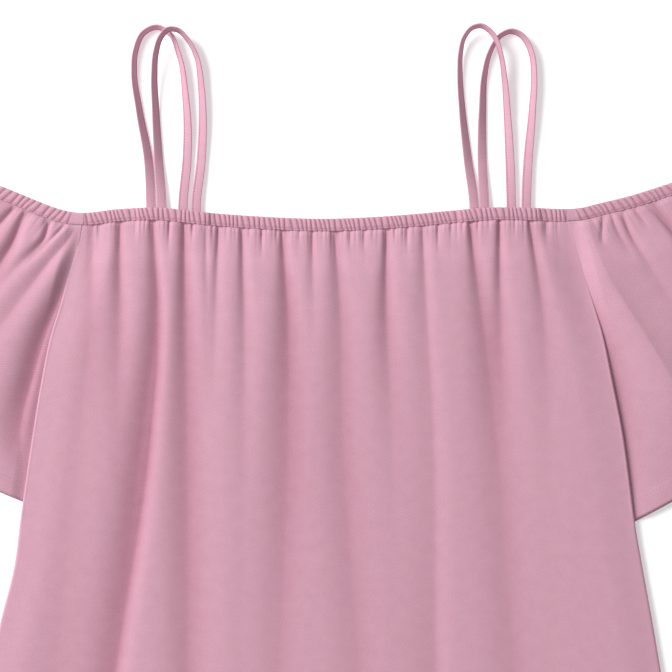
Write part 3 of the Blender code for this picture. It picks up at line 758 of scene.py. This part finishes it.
def ribbon_path(rows, steps):
    """Distances and points along a strap, with its outward and face directions, as arrays."""
    run = np.concatenate([[0], np.cumsum(np.hypot(*np.diff(rows[:, :2], axis=0).T))])
    at = np.linspace(0, run[-1], steps)
    across, up = (through(run, rows[:, k], at) for k in (0, 1))
    tilt, clear = (np.interp(at, run, rows[:, k]) for k in (2, 3))
    smooth = np.ones(9) / 9
    tilt = np.radians(np.convolve(np.pad(tilt, 4, mode="edge"), smooth, mode="valid"))
    heading = np.stack([np.gradient(across, at), np.gradient(up, at)], axis=-1)
    heading = heading / np.linalg.norm(heading, axis=1, keepdims=True)
    outer = np.stack([-heading[:, 1] * np.cos(tilt), heading[:, 0] * np.cos(tilt), np.sin(tilt)], axis=-1)
    face = np.stack([heading[:, 1] * np.sin(tilt), -heading[:, 0] * np.sin(tilt), np.cos(tilt)], axis=-1)
    level = clear + RIBBON_WIDTH / 2 * np.sin(tilt) + RIBBON_THICKNESS / 2 * np.cos(tilt)
    return at, np.stack([across, up, level], axis=-1), outer, face


strap_seams = []
for name, rows in STRAPS.items():
    at, centre, outer, face = ribbon_path(rows, 300)
    round_angle = np.linspace(0, 2 * math.pi, 26, endpoint=False)
    flat = -np.sign(np.cos(round_angle)) * np.abs(np.cos(round_angle)) ** 0.45
    thick = np.sign(np.sin(round_angle)) * np.abs(np.sin(round_angle)) ** 0.45
    seam_place = EDGE_STITCH - RIBBON_WIDTH / 2
    groove = 0.2 * np.exp(-((flat * RIBBON_WIDTH / 2 - seam_place) / 0.5) ** 2)
    rings = (centre[:, None, :] + (flat * RIBBON_WIDTH / 2)[None, :, None] * outer[:, None, :]
             + (thick * (RIBBON_THICKNESS / 2 - groove))[None, :, None] * face[:, None, :])
    uv = np.stack([at[:, None] + 0 * flat, flat * RIBBON_WIDTH / 2 + 0 * at[:, None]], axis=-1)
    # Painted shade darkens the pink along the stitched groove.
    painted_shade = 1.2 * groove + 0 * at[:, None]
    cloth_piece(name + "_cloth", rings, tube_faces(*painted_shade.shape), uv, painted_shade, crepe_cloth, [name])
    strap_seams.append(centre + seam_place * outer + (RIBBON_THICKNESS / 2 - 0.12) * face)

# Stitching: one line of thread along the inner edge of each strap and 12.5 mm above each hem, in
# stitches 2 to 3 mm apart with their ends sunk in the cloth. The thread is real, and its deep pink,
# darker than the cloth, is painted shade for the needle holes and the shadows of the stitches.
# Thread colour darkened as painted shade for the needle holes and stitch shadows.
THREAD_SHADE_PINK = (0.42, 0.17, 0.25)

thread = bpy.data.materials.new("thread_painted_shade")
thread.use_nodes = True
thread.node_tree.nodes["Principled BSDF"].inputs["Base Color"].default_value = THREAD_SHADE_PINK + (1,)
thread.node_tree.nodes["Principled BSDF"].inputs["Roughness"].default_value = 0.7


def stitches(name, runs, pitch, length, radius):
    """Short thread lengths along each run of points: spindles of four rings of five points."""
    middles = []
    directions = []
    for run in runs:
        travelled = np.concatenate([[0], np.cumsum(np.linalg.norm(np.diff(run, axis=0), axis=1))])
        at = np.arange(pitch / 2, travelled[-1] - pitch / 2, pitch)
        before, after = (np.stack([np.interp(at + shift, travelled, run[:, k]) for k in range(3)], axis=-1)
                         for shift in (-length / 2, length / 2))
        middles.append((before + after) / 2)
        directions.append((after - before) / np.linalg.norm(after - before, axis=1, keepdims=True))
    middle = np.concatenate(middles)
    forward = np.concatenate(directions)
    aside = np.cross(forward, [0, 0, 1])
    aside = aside / np.linalg.norm(aside, axis=1, keepdims=True)
    upward = np.cross(aside, forward)
    angle = np.linspace(0, 2 * math.pi, 5, endpoint=False)
    place = length * np.array([-0.5, -0.3, 0.3, 0.5])
    size = radius * np.array([0.3, 1, 1, 0.3])
    sink = radius * np.array([1.6, 0, 0, 1.6])
    sideways = size[:, None] * np.cos(angle)
    raised = size[:, None] * np.sin(angle) - sink[:, None]
    points = (middle[:, None, None] + place[None, :, None, None] * forward[:, None, None]
              + sideways[None, :, :, None] * aside[:, None, None]
              + raised[None, :, :, None] * upward[:, None, None])
    one = tube_faces(4, 5)
    faces = [[corner + 20 * k for corner in face] for k in range(len(middle)) for face in one]
    uv = np.zeros((points.size // 3, 2))
    cloth_piece(name, points, faces, uv, uv[:, 0], thread, [])


def above_front(across, down):
    """Plan points just above the front's surface."""
    to_side = np.minimum(across - body_side(down, 1), body_side(down, 2) - across)
    height, _ = front_height(across, down, to_side)
    return np.stack([across, -down, FRONT_LEVEL + height + WALL / 2 + 0.15], axis=-1)


stitches("strap_stitches", strap_seams, 2.3, 1.5, 0.2)
hem_runs = [above_front(*body_grid(np.linspace(0.01, 0.99, 400),
                                   np.full(400, BODY_LENGTH - neck_down(0) - HEM_DEPTH), ROLL))]
for name in SLEEVES:
    u = np.linspace(0.03, 0.98, 120)
    v = np.full(u.shape, 1 - HEM_DEPTH / SLEEVE_LENGTH)
    across, up = sleeve_patch(name, u, v)
    height, _ = sleeve_height(name, across, up, u, v)
    hem_runs.append(np.stack([across, up, FRONT_LEVEL + height + WALL / 2 + 0.15], axis=-1))
stitches("hem_stitches", hem_runs, 2.9, 1.9, 0.22)
